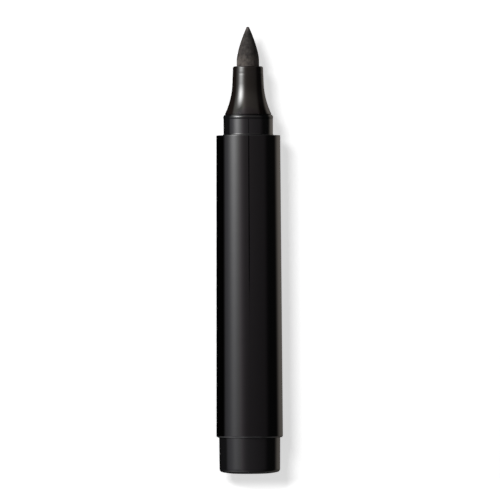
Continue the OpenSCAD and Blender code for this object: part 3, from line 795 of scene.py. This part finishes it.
# Pale panels on the left and in front, dimmer towards the right, brightest about 30 degrees up
front = ([(-180, 0.0, PLAIN), (-104, 0.0, COOL), (-98, 0.15, COOL), (-92, 0.58, COOL), (-88, 0.7, COOL),
          (-78, 0.92, COOL), (-58, 0.9, COOL), (-46, 0.9, COOL), (-38, 1.1, PLAIN), (-31, 1.2, ROSE),
          (-25, 0.9, ROSE), (-18, 0.62, ROSE), (-11, 0.44, ROSE), (0, 0.34, ROSE), (25, 0.28, ROSE),
          (55, 0.22, ROSE), (62, 0.16, ROSE), (69, 0.08, ROSE), (76, 0.0, PLAIN), (180, 0.0, PLAIN)],
         [(-90, 0.3, PLAIN), (-55, 0.55, PLAIN), (-35, 0.85, PLAIN), (-16, 0.3, PLAIN), (-5, 0.5, PLAIN),
          (-3, 0.65, PLAIN), (-1, 0.76, PLAIN), (1, 1.02, PLAIN), (3, 1.0, STRAW), (7, 0.9, STRAW),
          (16, 1.15, STRAW), (22, 1.52, STRAW), (28, 1.68, STRAW), (34, 1.58, STRAW), (40, 1.55, STRAW),
          (45, 1.15, PLAIN), (50, 0.7, PLAIN), (60, 0.4, PLAIN), (90, 0.3, PLAIN)])
# A black flag along the right and another pale panel behind it
right = ([(-180, 0.0, PLAIN), (69, 0.0, PLAIN), (76, 0.04, PLAIN), (106, 0.03, PLAIN), (112, 0.09, WARM),
          (117, 0.28, WARM), (122, 0.44, WARM), (130, 0.58, WARM), (145, 0.44, WARM), (180, 0.0, PLAIN)],
         [(-90, 0.3, PLAIN), (-10, 0.5, PLAIN), (-1, 0.85, PLAIN), (1, 1.22, PLAIN), (5, 0.65, PLAIN),
          (12, 0.88, PLAIN), (20, 1.2, PLAIN), (26, 1.05, PLAIN), (32, 0.1, PLAIN), (90, 0.0, PLAIN)])
# The pale room shows above the left-hand flag, and the pale table below all of it
above = ([(-180, 0.3, PLAIN), (-150, 0.6, PLAIN), (-130, 1.4, PLAIN), (-88, 1.4, PLAIN), (-72, 0.7, PLAIN),
          (-58, 0.35, PLAIN), (-40, 0.12, PLAIN), (0, 0.06, PLAIN), (50, 0.0, PLAIN), (110, 0.0, PLAIN),
          (150, 0.1, PLAIN), (180, 0.3, PLAIN)],
         [(-90, 0.0, PLAIN), (40, 0.0, PLAIN), (45, 0.6, PLAIN), (49, 1.6, PLAIN), (54, 3.0, PLAIN),
          (61, 2.6, PLAIN), (67, 1.3, PLAIN), (90, 0.6, PLAIN)])
below = ([(-180, 0.12, PLAIN), (-150, 0.15, PLAIN), (-130, 0.4, PLAIN), (-112, 0.55, PLAIN),
          (-100, 0.9, PLAIN), (-85, 0.9, PLAIN), (-70, 0.6, PLAIN), (-53, 0.32, PLAIN), (-30, 0.16, PLAIN),
          (30, 0.12, PLAIN), (55, 0.05, PLAIN), (110, 0.05, PLAIN), (180, 0.12, PLAIN)],
         [(-90, 0.9, PLAIN), (-60, 1.3, PLAIN), (-47, 1.1, PLAIN), (-36, 0.6, PLAIN), (-25, 0.2, PLAIN),
          (-14, 0.0, PLAIN), (90, 0.0, PLAIN)])
LEVEL_TOP = 3.0
FILL_FRONT = 0.12
FILL_BEHIND = 0.5
FILL_TURNS_WITHIN = 0.1
world = bpy.data.worlds.new("studio")
bpy.context.scene.world = world
world.use_nodes = True
world_tree = world.node_tree
world_tree.nodes.clear()
looking = add_node(world_tree, "ShaderNodeTexCoord").outputs["Generated"]
facing = add_node(world_tree, "ShaderNodeMapping", None,
                  {"Vector": looking, "Rotation": (0, 0, math.pi / 2)})
azimuth_share = add_node(world_tree, "ShaderNodeTexGradient", {"gradient_type": "RADIAL"},
                         {"Vector": facing.outputs["Vector"]})
upright = add_node(world_tree, "ShaderNodeSeparateXYZ", None, {"Vector": looking})
rise_share = add_node(world_tree, "ShaderNodeMapRange", None,
                      {"Value": upright.outputs["Z"], "From Min": -1.0})
panels = (0, 0, 0)
for around, upward in (front, right, above, below):
    stops = ([(turn / 360 + 0.5, level, tint) for turn, level, tint in around],
             [(math.sin(math.radians(rise)) / 2 + 0.5, level, tint) for rise, level, tint in upward])
    ramps = [add_node(world_tree, "ShaderNodeValToRGB", None, {"Fac": azimuth_share.outputs["Fac"]}),
             add_node(world_tree, "ShaderNodeValToRGB", None, {"Fac": rise_share.outputs["Result"]})]
    for ramp, places in zip(ramps, stops):
        line = ramp.color_ramp
        while len(line.elements) < len(places):
            line.elements.new(1.0)
        for element, (place, level, tint) in zip(line.elements, places):
            element.position = place
            element.color = (*(level / LEVEL_TOP * np.array(tint)).tolist(), 1)
    zone = add_node(world_tree, "ShaderNodeVectorMath", {"operation": "MULTIPLY_ADD"},
                    {0: ramps[0].outputs["Color"], 1: ramps[1].outputs["Color"], 2: panels})
    panels = zone.outputs["Vector"]
# Both ramps of a zone hold shares of LEVEL_TOP, so their product needs it twice
studio = add_node(world_tree, "ShaderNodeBackground", None,
                  {"Color": panels, "Strength": LEVEL_TOP ** 2})
# Soft light comes from all round, and more of it from the side of the white sheet
fill_level = add_node(world_tree, "ShaderNodeMapRange", None,
                      {"Value": upright.outputs["Y"], "From Min": -FILL_TURNS_WITHIN,
                       "From Max": FILL_TURNS_WITHIN, "To Min": FILL_FRONT, "To Max": FILL_BEHIND})
fill = add_node(world_tree, "ShaderNodeBackground", None,
                {"Color": linear("#FFFFFF"), "Strength": fill_level.outputs["Result"]})
# The camera, and rays through anything clear, see plain white instead
white = add_node(world_tree, "ShaderNodeBackground", None, {"Color": linear("#FFFFFF"), "Strength": 1.0})
rays = add_node(world_tree, "ShaderNodeLightPath")
shiny = add_node(world_tree, "ShaderNodeMixShader", None,
                 {"Fac": rays.outputs["Is Glossy Ray"], 1: fill.outputs[0], 2: studio.outputs[0]})
direct = add_node(world_tree, "ShaderNodeMath", {"operation": "MAXIMUM"},
                  {0: rays.outputs["Is Camera Ray"], 1: rays.outputs["Is Transmission Ray"]})
seen = add_node(world_tree, "ShaderNodeMixShader", None,
                {"Fac": direct.outputs[0], 1: shiny.outputs[0], 2: white.outputs[0]})
add_node(world_tree, "ShaderNodeOutputWorld", None, {"Surface": seen.outputs[0]})

bpy.context.scene.view_settings.view_transform = "Standard"
